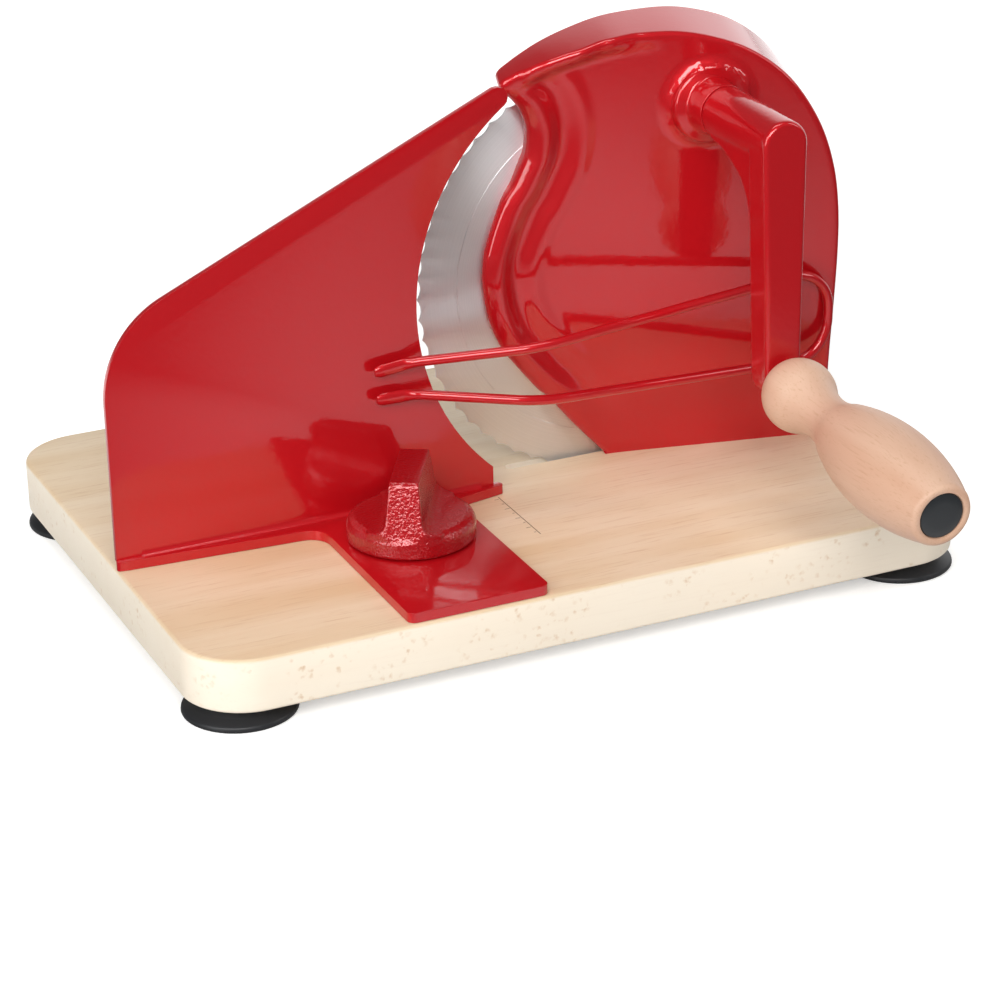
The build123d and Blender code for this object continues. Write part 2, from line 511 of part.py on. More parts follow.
save("base_board", base_board())
save("suction_feet", *[suction_foot(x, y) for x, y in FEET])
save("foot_screws", *[foot_screw(x, y) for x, y in FEET])
save("guide_keys", *[guide_key(y0, y1) for y0, y1 in KEYS])
save("stop_plate", stop_plate())
save("plate_foot", plate_foot())
save("clamp_bolt", clamp_bolt())
save("knob_washer", knob_washer())
save("knob_insert", knob_insert())
save("clamp_knob", clamp_knob())
save("housing", housing())
save("housing_screws", *[housing_screw(x, y) for x, y, r in HOUSING_SCREWS])
save("crank_bushes", ring_y(CRANK_X, CRANK_Z, BUSH_R, SHAFT_R + RUN, -18, -8),
     ring_y(CRANK_X, CRANK_Z, BUSH_R, SHAFT_R + RUN, BOSS_FRONT, -31))
save("blade_axle", blade_axle())
save("blade_bush", ring_y(BLADE_X, BLADE_Z, 6.0, 4.0 + RUN, GEAR_Y0, BLADE_T))
save("blade", blade())
save("blade_gear", blade_gear())
save("blade_rivets", *[blade_rivet(x, z) for x, z in RIVETS])
save("blade_washer", ring_y(BLADE_X, BLADE_Z, 6.6, 2.7, BLADE_T + 0.1, 2.6))
save("blade_screw", blade_screw())
save("idler_gear", idler_gear())
save("idler_pin", cyl_y(IDLER_X, IDLER_Z, SPINDLE_R, PIN_FRONT, -0.5))
save("idler_clip", ring_y(IDLER_X, IDLER_Z, 5.0, SPINDLE_R, -1.3, -0.6))
save("drive_gear", drive_gear())
save("crank_shaft", crank_shaft())
save("thrust_washer", ring_y(CRANK_X, CRANK_Z, 9.0, SHAFT_R, -7.7, GEAR_Y0))
save("shaft_clip", ring_y(CRANK_X, CRANK_Z, 7.5, SHAFT_R, GEAR_Y1, -0.9))
save("crank_arm", crank_arm())
save("shaft_pin", cyl_z(CRANK_X, -50.0, 1.5, CRANK_Z - 9.0, CRANK_Z + 5.4))
save("grip_spindle", grip_spindle())
save("grip", grip())
save("grip_cap", grip_cap())
save("wire_guard", wire_guard())
save("guard_block", guard_block())
save("guard_clamp", guard_clamp())
save("guard_screw", guard_screw())
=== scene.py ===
import math

import bmesh
import bpy
from mathutils import Matrix, Vector
from mathutils.geometry import delaunay_2d_cdt
from mathutils.kdtree import KDTree


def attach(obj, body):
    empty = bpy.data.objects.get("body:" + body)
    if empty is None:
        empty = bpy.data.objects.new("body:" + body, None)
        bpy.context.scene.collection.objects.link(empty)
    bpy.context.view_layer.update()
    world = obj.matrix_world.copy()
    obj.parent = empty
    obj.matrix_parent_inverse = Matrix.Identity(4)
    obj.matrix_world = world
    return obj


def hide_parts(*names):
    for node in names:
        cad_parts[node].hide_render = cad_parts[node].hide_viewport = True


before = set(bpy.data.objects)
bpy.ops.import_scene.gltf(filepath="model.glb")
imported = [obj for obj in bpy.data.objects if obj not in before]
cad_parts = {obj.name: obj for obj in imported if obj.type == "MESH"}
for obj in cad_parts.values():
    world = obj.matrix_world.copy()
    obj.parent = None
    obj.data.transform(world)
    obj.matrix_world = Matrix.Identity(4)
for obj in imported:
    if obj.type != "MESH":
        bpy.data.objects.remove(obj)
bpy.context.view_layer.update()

MM = 0.001

# Camera at the photograph's angle: a long lens a metre and a quarter away, looking down
# at 24 degrees from the user's left. The picture was straightened, so it leans a little.
turn, tip, lean = math.radians(23.9), math.radians(23.74), math.radians(1.39)
look = Vector((math.sin(turn) * math.cos(tip), math.cos(turn) * math.cos(tip), -math.sin(tip)))
side = Vector((math.cos(turn), -math.sin(turn), 0))
above = side.cross(look)
side, above = side * math.cos(lean) - above * math.sin(lean), above * math.cos(lean) + side * math.sin(lean)
lens = bpy.data.cameras.new("camera")
lens.lens, lens.sensor_width, lens.clip_start, lens.clip_end = 118.4, 36.0, 0.05, 50
camera = bpy.data.objects.new("camera", lens)
camera.matrix_world = Matrix((side, above, -look)).transposed().to_4x4()
camera.location = (-0.4858, -1.1165, 0.5530)
bpy.context.scene.collection.objects.link(camera)
bpy.context.scene.camera = camera


# Studio: a big soft box over the left shoulder, a small one over the top and a strip on each
# side, in a dark room, so that the enamel shows bright panels with darker stretches between.
def softbox(name, place, aim, width, height, watts):
    data = bpy.data.lights.new(name, "AREA")
    data.shape, data.size, data.size_y, data.energy = "RECTANGLE", width, height, watts
    lamp = bpy.data.objects.new(name, data)
    lamp.location = place
    lamp.rotation_euler = (Vector(aim) - Vector(place)).to_track_quat("-Z", "Y").to_euler()
    bpy.context.scene.collection.objects.link(lamp)


softbox("key", (-1.0, -1.8, 1.45), (0, 0, 0.08), 1.8, 0.9, 43)
softbox("top", (-0.1, -0.1, 1.9), (0, 0, 0.05), 1.5, 0.3, 9)
softbox("right", (1.5, -1.1, 1.0), (0, 0, 0.08), 0.4, 1.2, 6)
softbox("left", (-1.7, -0.7, 0.6), (0, 0, 0.10), 0.8, 1.2, 14)
bpy.context.scene.view_settings.view_transform = "Standard"


def srgb(code):
    """Hex sRGB colour as linear RGBA."""
    parts = [int(code[i:i + 2], 16) / 255 for i in (1, 3, 5)]
    return [c / 12.92 if c <= 0.04045 else ((c + 0.055) / 1.055) ** 2.4 for c in parts] + [1.0]


def add(tree, kind, inputs=None, **settings):
    """Adds a node, sets its properties, and links or sets its sockets."""
    made = tree.nodes.new(kind)
    for name, value in settings.items():
        setattr(made, name, value)
    for name, value in (inputs or {}).items():
        if isinstance(value, bpy.types.NodeSocket):
            tree.links.new(value, made.inputs[name])
        else:
            made.inputs[name].default_value = value
    return made


def material(name):
    """An empty node material; its tree is filled in by the section that needs it."""
    made = bpy.data.materials.new(name)
    made.use_nodes = True
    made.node_tree.nodes.clear()
    return made, made.node_tree


world = bpy.data.worlds.new("studio")
world.use_nodes = True
world.node_tree.nodes.clear()
bpy.context.scene.world = world
wt = world.node_tree
path = add(wt, "ShaderNodeLightPath")
# The room is dark on the camera's side and bright behind the object on the right, where the
# white sweep rises; the rim and the tongue mirror it. The camera itself sees plain white.
way = add(wt, "ShaderNodeTexCoord")
toward = add(wt, "ShaderNodeVectorMath", {0: way.outputs["Generated"], 1: (0.75, 0.65, 0.0)},
             operation="DOT_PRODUCT")
sweep = add(wt, "ShaderNodeMapRange", {0: toward.outputs["Value"], 1: 0.53, 2: 0.88, 3: 0.12, 4: 1.2},
            interpolation_type="SMOOTHSTEP")
room = add(wt, "ShaderNodeBackground", {"Color": srgb("#ffffff"), "Strength": sweep.outputs[0]})
white = add(wt, "ShaderNodeBackground", {"Color": srgb("#ffffff"), "Strength": 1.0})
pick = add(wt, "ShaderNodeMixShader", {0: path.outputs["Is Camera Ray"], 1: room.outputs[0],
                                       2: white.outputs[0]})
add(wt, "ShaderNodeOutputWorld", {"Surface": pick.outputs[0]})

# Floor: white table that keeps the soft shadow of the feet and board and fades into the white
# background. Mirror rays see a painted pool of light before the object, a painted dark table
# round it and the rising white sweep behind, which gives the red coat its light and dark
# stretches.
floor_mat, ft = material("white studio table")
path = add(ft, "ShaderNodeLightPath")
where = add(ft, "ShaderNodeTexCoord")
apart = add(ft, "ShaderNodeVectorMath", {0: where.outputs["Object"], 1: (0.03, -0.2, 0)},
            operation="DISTANCE")
# Painted pool of light, seen only in mirrors: bright before the object, painted dark further out.
painted_light_pool = add(ft, "ShaderNodeMapRange", {0: apart.outputs["Value"], 1: 0.05, 2: 0.30, 3: 0.85, 4: 0.10},
           interpolation_type="SMOOTHSTEP")
across = add(ft, "ShaderNodeSeparateXYZ", {0: where.outputs["Object"]})
behind = add(ft, "ShaderNodeMapRange", {0: across.outputs[1], 1: 0.0, 2: 0.3, 3: 0.0, 4: 0.95})
painted_light_pool = add(ft, "ShaderNodeMath", {0: painted_light_pool.outputs[0], 1: behind.outputs[0]}, operation="MAXIMUM")
tone = add(ft, "ShaderNodeMix", {0: path.outputs["Is Glossy Ray"], 2: 0.6, 3: painted_light_pool.outputs[0]})
painted_mirror_floor = add(ft, "ShaderNodeBsdfDiffuse", {"Color": tone.outputs[0]})
lift = add(ft, "ShaderNodeMath", {0: path.outputs["Is Glossy Ray"], 1: behind.outputs[0]},
           operation="MULTIPLY")
lift = add(ft, "ShaderNodeMath", {0: lift.outputs[0], 1: 0.65}, operation="MULTIPLY")
far = add(ft, "ShaderNodeEmission", {"Color": srgb("#ffffff"), "Strength": lift.outputs[0]})
painted_mirror_floor = add(ft, "ShaderNodeAddShader", {0: painted_mirror_floor.outputs[0], 1: far.outputs[0]})
paper = add(ft, "ShaderNodeBsdfDiffuse", {"Color": srgb("#f4f3f1")})
fade = add(ft, "ShaderNodeMapRange", {0: apart.outputs["Value"], 1: 0.6, 2: 1.5, 3: 0.42, 4: 1.0})
glow = add(ft, "ShaderNodeEmission", {"Color": srgb("#ffffff"), "Strength": fade.outputs[0]})
lit = add(ft, "ShaderNodeAddShader", {0: paper.outputs[0], 1: glow.outputs[0]})
seen = add(ft, "ShaderNodeMixShader", {0: path.outputs["Is Camera Ray"], 1: painted_mirror_floor.outputs[0],
                                       2: lit.outputs[0]})
add(ft, "ShaderNodeOutputMaterial", {"Surface": seen.outputs[0]})
bm = bmesh.new()
bmesh.ops.create_grid(bm, x_segments=1, y_segments=1, size=6.0)
floor_mesh = bpy.data.meshes.new("floor")
bm.to_mesh(floor_mesh)
floor = bpy.data.objects.new("floor", floor_mesh)
floor.data.materials.append(floor_mat)
bpy.context.scene.collection.objects.link(floor)


def finish_piece(name, bm, body, mat, nodes=(), sharp=35):
    """Turns a bmesh in millimetres into a piece that rides on a body and stands for CAD nodes."""
    bmesh.ops.remove_doubles(bm, verts=bm.verts, dist=1e-4)
    bmesh.ops.recalc_face_normals(bm, faces=bm.faces)
    bmesh.ops.scale(bm, vec=(MM, MM, MM), verts=bm.verts)
    mesh = bpy.data.meshes.new(name)
    bm.to_mesh(mesh)
    bm.free()
    mesh.materials.append(mat)
    piece = bpy.data.objects.new(name, mesh)
    bpy.context.scene.collection.objects.link(piece)
    mesh.shade_smooth()
    mesh.set_sharp_from_angle(angle=math.radians(sharp))
    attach(piece, body)
    if nodes:
        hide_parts(*nodes)
    return piece


# Board: solid beech, planed and oiled, with rounded corners and a slot where the blade dips
# in. Counterbored from below for the clamp bolt and the three screws of the housing.
def beech(name, tone, light, pore_tone, along, flecks, size=1.0):
    """Beech: fine straight pores along the grain, slow colour drift, short brown ray flecks and, with flecks,
    upright faces painted paler as painted light.
    """
    mat, t = material(name)
    coord = add(t, "ShaderNodeTexCoord")
    fine = add(t, "ShaderNodeMapping", {"Vector": coord.outputs["Object"], "Scale": along})
    pores = add(t, "ShaderNodeTexNoise", {"Vector": fine.outputs[0], "Scale": 1100 * size, "Detail": 3,
                                          "Roughness": 0.65})
    drift = add(t, "ShaderNodeTexNoise", {"Vector": fine.outputs[0], "Scale": 70 * size, "Detail": 2})
    cloud = add(t, "ShaderNodeTexNoise", {"Vector": coord.outputs["Object"], "Scale": 14, "Detail": 1})
    slow = add(t, "ShaderNodeMapRange", {0: drift.outputs[0], 1: 0.35, 2: 0.65, 3: 0.0, 4: 0.6})
    base = add(t, "ShaderNodeMix", {0: slow.outputs[0], 6: srgb(tone), 7: srgb(light)}, data_type="RGBA")
    patch = add(t, "ShaderNodeMapRange", {0: cloud.outputs[0], 1: 0.4, 2: 0.65, 3: 0.0, 4: 0.5})
    base = add(t, "ShaderNodeMix", {0: patch.outputs[0], 6: base.outputs[2], 7: srgb(light)},
               data_type="RGBA")
    streak = add(t, "ShaderNodeMapRange", {0: pores.outputs[0], 1: 0.54, 2: 0.74, 3: 0.0, 4: 0.5})
    colour = add(t, "ShaderNodeMix", {0: streak.outputs[0], 6: base.outputs[2], 7: srgb(pore_tone)},
                 data_type="RGBA")
    if flecks:
        sway = add(t, "ShaderNodeTexNoise", {"Vector": coord.outputs["Object"], "Scale": 420, "Detail": 2})
        where = add(t, "ShaderNodeMix", {0: 0.0035, 4: coord.outputs["Object"], 5: sway.outputs["Color"]},
                    data_type="VECTOR")
        cells = add(t, "ShaderNodeTexVoronoi", {"Vector": where.outputs[1], "Scale": 290})
        spots = add(t, "ShaderNodeMapRange", {0: cells.outputs["Distance"], 1: 0.06, 2: 0.38, 3: 0.55,
                                              4: 0.0})
        rare = add(t, "ShaderNodeTexNoise", {"Vector": coord.outputs["Object"], "Scale": 75})
        some = add(t, "ShaderNodeMapRange", {0: rare.outputs[0], 1: 0.48, 2: 0.66})
        # Ray flecks show as short marks on the quarter-sawn front edge and hardly on the top.
        split = add(t, "ShaderNodeSeparateXYZ", {0: coord.outputs["Normal"]})
        edge = add(t, "ShaderNodeMapRange", {0: split.outputs[2], 1: 0.1, 2: 0.6, 3: 1.0, 4: 0.12})
        # Painted light: the upright faces are mixed towards pale cream, as if the lamps lit them more than
        # the top.
        painted_light_on_sides = add(t, "ShaderNodeMapRange", {0: split.outputs[2], 1: 0.1, 2: 0.6, 3: 0.75, 4: 0.0})
        colour = add(t, "ShaderNodeMix", {0: painted_light_on_sides.outputs[0], 6: colour.outputs[2], 7: srgb("#fff6e6")},
                     data_type="RGBA")
        spots = add(t, "ShaderNodeMath", {0: spots.outputs[0], 1: some.outputs[0]}, operation="MULTIPLY")
        spots = add(t, "ShaderNodeMath", {0: spots.outputs[0], 1: edge.outputs[0]}, operation="MULTIPLY")
        colour = add(t, "ShaderNodeMix", {0: spots.outputs[0], 6: colour.outputs[2], 7: srgb("#c89a62")},
                     data_type="RGBA")
    bump = add(t, "ShaderNodeBump", {"Height": pores.outputs[0], "Strength": 0.3, "Distance": 0.00006})
    skin = add(t, "ShaderNodeBsdfPrincipled", {"Base Color": colour.outputs[2], "Roughness": 0.45,
                                               "Normal": bump.outputs[0], "IOR": 1.48})
    add(t, "ShaderNodeOutputMaterial", {"Surface": skin.outputs[0]})
    return mat


def bake(piece):
    """Applies every modifier of a piece to its mesh."""
    bpy.context.view_layer.update()
    shaped = bpy.data.meshes.new_from_object(piece.evaluated_get(bpy.context.evaluated_depsgraph_get()))
    shaped.name = piece.name
    piece.modifiers.clear()
    piece.data = shaped
    return piece


def boolean(piece, tool_bm, operation="DIFFERENCE", sharp=35):
    """Cuts a bmesh in millimetres out of a piece, or joins or intersects it."""
    bmesh.ops.recalc_face_normals(tool_bm, faces=tool_bm.faces)
    bmesh.ops.scale(tool_bm, vec=(MM, MM, MM), verts=tool_bm.verts)
    mesh = bpy.data.meshes.new("tool")
    tool_bm.to_mesh(mesh)
    tool_bm.free()
    tool = bpy.data.objects.new("tool", mesh)
    bpy.context.scene.collection.objects.link(tool)
    step = piece.modifiers.new("cut", "BOOLEAN")
    step.operation, step.object, step.solver = operation, tool, "EXACT"
    bake(piece)
    bpy.data.objects.remove(tool)
    bpy.data.meshes.remove(mesh)
    piece.data.shade_smooth()
    piece.data.set_sharp_from_angle(angle=math.radians(sharp))
    return piece


def rod(bm, start, end, radius, around=48):
    """Closed cylinder between two points."""
    axis = Vector(end) - Vector(start)
    place = Matrix.Translation((Vector(start) + Vector(end)) / 2) @ axis.to_track_quat(
        "Z", "Y").to_matrix().to_4x4()
    return bmesh.ops.create_cone(bm, cap_ends=True, segments=around, radius1=radius, radius2=radius,
                                 depth=axis.length, matrix=place)["verts"]


def block(bm, low, high):
    """Box between two corners."""
    low, high = Vector(low), Vector(high)
    made = bmesh.ops.create_cube(bm, size=1.0)["verts"]
    bmesh.ops.scale(bm, vec=high - low, verts=made)
    bmesh.ops.translate(bm, vec=(low + high) / 2, verts=made)
    return made


def soften(bm, edges, size, segments=3):
    """Rounds edges to a small radius."""
    bmesh.ops.bevel(bm, geom=list(edges), offset=size, offset_type="OFFSET", segments=segments,
                    profile=0.5, affect="EDGES", material=-1, clamp_overlap=True)


TABLE_GAP, TOP = 8.0, 29.5      # underside and top of the board
BOLT = (-51.2, -51)             # clamp bolt
HOUSING_SCREWS = ((84, -6.4), (112, -11), (141, -14))
bm = bmesh.new()
block(bm, (-160.5, -117, TABLE_GAP), (160.5, 117, TOP))
soften(bm, [e for e in bm.edges if abs(e.verts[0].co.z - e.verts[1].co.z) > 10], 25.0, 16)
soften(bm, [e for e in bm.edges if abs(e.verts[0].co.z - e.verts[1].co.z) < 1], 1.5, 4)
board = finish_piece("board", bm, "base",
                     beech("planed beech", "#dcbf98", "#ecdabf", "#c7a077", (0.05, 1, 1), True),
                     ["base_board"])
bm = bmesh.new()
rod(bm, (14.4, 1.1, 18.5), (14.4, 1.1, 31), 2.5, 24)
rod(bm, (101.5, 1.1, 18.5), (101.5, 1.1, 31), 2.5, 24)
boolean(board, bm)
bm = bmesh.new()
block(bm, (14.4, -1.4, 18.5), (101.5, 3.6, 31))
boolean(board, bm)
bm = bmesh.new()
rod(bm, (*BOLT, 7), (*BOLT, 13), 9)
for x, y in HOUSING_SCREWS:
    rod(bm, (x, y, 7), (x, y, 13), 4.5)
boolean(board, bm)

# Thickness scale: a fine line with a tick for each 5 mm, burnt into the board beside the end
# of the plate's foot.
ink, t = material("burnt scale print")      # matt dark brown, as scorched wood
skin = add(t, "ShaderNodeBsdfPrincipled", {"Base Color": srgb("#7d644c"), "Roughness": 0.8})
add(t, "ShaderNodeOutputMaterial", {"Surface": skin.outputs[0]})
bm = bmesh.new()
block(bm, (-3.2, -64.5, TOP - 0.1), (-2.85, -25, TOP + 0.03))
for k in range(8):
    block(bm, (-5.6 if k % 2 else -4.6, -62 + 5 * k, TOP - 0.1), (-3.6, -61.7 + 5 * k, TOP + 0.03))
finish_piece("thickness_scale", bm, "base", ink)


# Suction feet: moulded black rubber cups, screwed to the board from below.
def lathe(bm, outline, place, around=96):
    """Spins an outline of (radius, height) about the local Z axis and puts it in place."""
    before = set(bm.verts)
    ring = [bm.verts.new((r, 0, h)) for r, h in outline]
    lines = [bm.edges.new(pair) for pair in zip(ring, ring[1:])]
    bmesh.ops.spin(bm, geom=ring + lines, cent=(0, 0, 0), axis=(0, 0, 1), angle=math.tau, steps=around,
                   use_merge=True)
    bmesh.ops.remove_doubles(bm, verts=[v for v in bm.verts if v not in before], dist=1e-5)
    made = [v for v in bm.verts if v not in before]
    bmesh.ops.transform(bm, matrix=place, verts=made)
    return made


def rounded(corners, steps=6, closed=False):
    """Points of a polyline of (point, radius), its corners replaced by arcs."""
    out, n = [], len(corners)
    for i, (point, radius) in enumerate(corners):
        p = Vector(point)
        if radius == 0 or (not closed and i in (0, n - 1)):
            out.append(p)
            continue
        a = (Vector(corners[i - 1][0]) - p).normalized()
        b = (Vector(corners[(i + 1) % n][0]) - p).normalized()
        half = a.angle(b) / 2
        centre = p + (a + b).normalized() * radius / math.sin(half)
        start, end = p + a * radius / math.tan(half) - centre, p + b * radius / math.tan(half) - centre
        turn = start.angle(end)
        for k in range(steps + 1):
            u = k / steps
            out.append(centre + (start * math.sin((1 - u) * turn) + end * math.sin(u * turn))
                       / math.sin(turn))
    return out


# Moulded rubber: nearly black, a soft sheen broken by a fine grain.
rubber, t = material("moulded black rubber")
coord = add(t, "ShaderNodeTexCoord")
grain = add(t, "ShaderNodeTexNoise", {"Vector": coord.outputs["Object"], "Scale": 1400, "Detail": 2})
bump = add(t, "ShaderNodeBump", {"Height": grain.outputs[0], "Strength": 0.2, "Distance": 0.00003})
skin = add(t, "ShaderNodeBsdfPrincipled", {"Base Color": srgb("#1f2023"), "Roughness": 0.45,
                                           "Normal": bump.outputs[0], "IOR": 1.52})
add(t, "ShaderNodeOutputMaterial", {"Surface": skin.outputs[0]})
bm = bmesh.new()
cup = rounded([((4.6, 5.2), 0), ((4.6, 2.4), 0.4), ((15, 0.7), 2), ((18, 0), 0.5), ((22, 0), 0.9),
               ((21.6, 2.2), 1.2), ((18, 4.2), 1.5), ((15.2, 6.2), 1.5), ((14.2, 8.3), 0.4), ((4.6, 8.3), 0),
               ((4.6, 5.2), 0)], 4)
for x in (-139, 139):
    for y in (-94, 94):
        lathe(bm, cup, Matrix.Translation((x, y, 0)), 72)
finish_piece("rubber_feet", bm, "base", rubber, ["suction_feet"], 40)


# Stop plate: 2.5 mm steel sheet, cut to a sloped outline whose right edge follows the blade,
# coated red; the fillet of its weld and its foot below carry it.
def enamel(name, peel, size, deep=1.0, colour="#c2101a"):
    """Thick glossy red coat; peel is the height in metres of its waves, size their length."""
    mat, t = material(name)
    coord = add(t, "ShaderNodeTexCoord")
    waves = add(t, "ShaderNodeTexNoise", {"Vector": coord.outputs["Object"], "Scale": 1 / size,
                                          "Detail": 1.5, "Roughness": 0.55})
    bump = add(t, "ShaderNodeBump", {"Height": waves.outputs[0], "Strength": 1.0, "Distance": peel})
    skin = add(t, "ShaderNodeBsdfPrincipled", {
        "Base Color": srgb(colour), "Metallic": 0.35, "Roughness": 0.42, "Specular IOR Level": 0.1,
        "Normal": bump.outputs[0], "Coat Weight": 1.0, "Coat Roughness": 0.07 * deep,
        "Coat IOR": 1.6, "Coat Normal": bump.outputs[0]})
    add(t, "ShaderNodeOutputMaterial", {"Surface": skin.outputs[0]})
    return mat


def prism(bm, points, low, high, axis):
    """Closed prism of a 2-D outline between two values along an axis, "Y" or "Z"."""
    spot = (lambda p, h: (p[0], h, p[1])) if axis == "Y" else (lambda p, h: (p[0], p[1], h))
    base = [bm.verts.new(spot(p, low)) for p in points]
    top = [bm.verts.new(spot(p, high)) for p in points]
    n = len(points)
    caps = [bm.faces.new(base), bm.faces.new(top)]
    walls = [bm.faces.new((base[i], base[(i + 1) % n], top[(i + 1) % n], top[i])) for i in range(n)]
    bmesh.ops.recalc_face_normals(bm, faces=caps + walls)
    return caps, walls


red = enamel("red powder coat", 0.000030, 0.0022)
FOOT_TOP = 33.5
slope = math.atan(0.45)
tip = Vector((2.2, 191.6))
outline = rounded([((-160, FOOT_TOP - 0.5), 0), ((-160, 123.5), 42),
                   (tip + 4.3 * Vector((-math.sin(slope), math.cos(slope))), 0)], 24)
hub_to_tip = math.atan2(tip.y - 111.5, tip.x - 62)
low_z = FOOT_TOP + 8
low_x = 62 - math.sqrt(95.8 ** 2 - (111.5 - low_z) ** 2)
for k in range(1, 7):
    a = math.pi / 2 + slope + (hub_to_tip - math.pi - math.pi / 2 - slope) * k / 6
    outline.append(tip + 4.3 * Vector((math.cos(a), math.sin(a))))
end_turn = math.atan2(low_z - 111.5, low_x - 62) + math.tau
outline += [Vector((62 + 95.8 * math.cos(a), 111.5 + 95.8 * math.sin(a)))
            for a in [hub_to_tip + (end_turn - hub_to_tip) * k / 40 for k in range(41)]]
outline.append(Vector((low_x, FOOT_TOP - 0.5)))
bm = bmesh.new()
caps, walls = prism(bm, outline, -21.6, -19.1, "Y")
soften(bm, {e for f in caps for e in f.edges if e.verts[0].co.z + e.verts[1].co.z > 80}, 0.55)
finish_piece("plate_sheet", bm, "plate", red, ["stop_plate"], 50)

# Plate foot: cast bar under the plate with a broad tongue that the knob clamps, same coat.
bm = bmesh.new()
outline = rounded([((-156, -19.1), 0.4), ((-160.4, -21.3), 0.8), ((-160, -23.2), 1.2), ((-156, -23.8), 4),
                   ((-79.5, -29.3), 8.5), ((-79.5, -115.6), 3.2), ((-22.9, -115.6), 3.2),
                   ((-22.9, -27.7), 6.0), ((-5.6, -24), 6), ((1.4, -22.5), 1.5), ((-1, -19.1), 0.4)],
                  8, True)
caps, walls = prism(bm, outline, 29.7, FOOT_TOP, "Z")
soften(bm, {e for f in caps for e in f.edges if e.verts[0].co.z > 31}, 0.8)
weld = [(-21.8, 33.2), (-24.2, 33.2), (-24.2, 33.52), (-23.4, 33.6), (-22.6, 33.9), (-22.0, 34.5),
        (-21.7, 35.3), (-21.6, 36.2), (-21.4, 36.2)]
before = set(bm.verts)
caps, walls = prism(bm, weld, -150, -9, "Z")
bmesh.ops.transform(bm, matrix=Matrix(((0, 0, 1, 0), (1, 0, 0, 0), (0, 1, 0, 0), (0, 0, 0, 1))),
                    verts=[v for v in bm.verts if v not in before])
finish_piece("plate_casting", bm, "plate", red, ["plate_foot"], 50)

# Clamp knob: die-cast disc with a thumb bar that flares into it, in hammered red coat. The bar's
# ends slope from the rim of the disc up to a flat top, and a bolt through the board holds it.
hammered = enamel("red hammered coat", 0.00034, 0.0011, 1.4, "#a60c15")
base_z = FOOT_TOP + 0.3
BAR_TOP, DISC_R = 28.8, 25.0
at_knob = Matrix.Translation((*BOLT, base_z))
place = at_knob @ Matrix.Rotation(math.radians(60), 4, "Z")
bm = bmesh.new()
prism(bm, [(-24.4, 2), (24.4, 2), (24.3, 6.5), (17.6, BAR_TOP - 1.2), (16.4, BAR_TOP), (-16.4, BAR_TOP),
           (-17.6, BAR_TOP - 1.2),
           (-24.3, 6.5)], -15, 15, "Y")
bmesh.ops.transform(bm, matrix=place, verts=bm.verts)
knob = finish_piece("knob_casting", bm, "knob", hammered, ["clamp_knob"])
bm = bmesh.new()
flare = rounded([((14.5, 2), 0), ((14.5, 9.4), 0), ((7.4, 10.2), 4.6), ((5.6, 30), 0)], 8)
outline = [(p.x, p.y) for p in flare] + [(-p.x, p.y) for p in reversed(flare)]
caps, walls = prism(bm, outline, -26, 26, "Y")
bmesh.ops.rotate(bm, cent=(0, 0, 0), matrix=Matrix.Rotation(math.radians(90), 3, "Z"), verts=bm.verts)
bmesh.ops.transform(bm, matrix=place, verts=bm.verts)
boolean(knob, bm, "INTERSECT")
bm = bmesh.new()
rod(bm, (*BOLT, base_z), (*BOLT, base_z + 36), DISC_R - 0.4, 96)
boolean(knob, bm, "INTERSECT")
bm = bmesh.new()
lathe(bm, [(0, 0), (24.2, 0), (DISC_R, 0.8), (DISC_R, 6.2), (23.9, 8.3), (21.5, 9.4), (0, 10.2)], at_knob)
boolean(knob, bm, "UNION")


def melt(piece, grid, rounds, sharp=180):
    """Remeshes a joined form on a fine grid and rounds its edges and corners a little."""
    step = piece.modifiers.new("grid", "REMESH")
    step.mode, step.voxel_size = "VOXEL", grid * MM
    step = piece.modifiers.new("round", "SMOOTH")
    step.factor, step.iterations = 0.5, rounds
    bake(piece)
    piece.data.shade_smooth()
    return piece


melt(knob, 0.5, 7)


# Housing: one aluminium casting in the red coat. Its tilted face rolls over at the slice edge,
# a hood stands proud at the top left, and the crank's bearing boss grows out of the face.
A, B = 0.235, 0.0905            # slope of the face to the left and upwards
CRANK, IDLER, CUTTER = Vector((89.358, 178.570)), (74.519, 141.693), (60.8, 107.6)    # axles
SLICE = [(56.6, 29.5), (43.3, 44.3), (31.0, 59.2), (27.3, 62.6), (16.4, 76.4), (12.2, 82.4), (9.2, 88.7),
         (6.4, 97.1), (4.7, 107.1), (4.5, 115.7), (5.9, 124.7), (13.1, 144.1), (17.2, 150.7),
         (20.7, 158.2), (22.8, 163.3), (23.7, 171.1), (23.1, 175.9), (20.9, 181.6), (17.4, 186.2),
         (13.0, 190.0)]
RIM = [(151.5, 29.5), (152.1, 65.0), (153.2, 92.0), (153.8, 115.0), (153.2, 133.0), (150.6, 150.5),
       (144.6, 168.2), (134.6, 184.6), (124.8, 194.6), (112.6, 202.6), (99.5, 207.6), (86.0, 210.6),
       (70.5, 211.3), (56.0, 210.6), (42.2, 207.7), (30.5, 204.0), (21.0, 199.6), (14.6, 196.0)]
HOOD = [(9, 0), (15, 1.2), (20, 3.8), (28, 5.4), (36, 5.9), (48, 3.4), (62, 0.6), (74, 0)]


def flowing(points, spacing):
    """Points along a smooth curve through the given ones, about one spacing apart."""
    pts = [Vector(p) for p in points]
    pts = [2 * pts[0] - pts[1]] + pts + [2 * pts[-1] - pts[-2]]
    out = []
    for i in range(1, len(pts) - 2):
        a, b, c, d = pts[i - 1:i + 3]
        steps = max(1, round((c - b).length / spacing))
        ta, tc = (c - a) / ((c - b).length + (b - a).length), (d - b) / ((d - c).length + (c - b).length)
        ta, tc = ta * (c - b).length, tc * (c - b).length
        for k in range(steps):
            u = k / steps
            out.append((2 * u ** 3 - 3 * u ** 2 + 1) * b + (u ** 3 - 2 * u ** 2 + u) * ta
                       + (3 * u ** 2 - 2 * u ** 3) * c + (u ** 3 - u ** 2) * tc)
    return out + [pts[-2]]


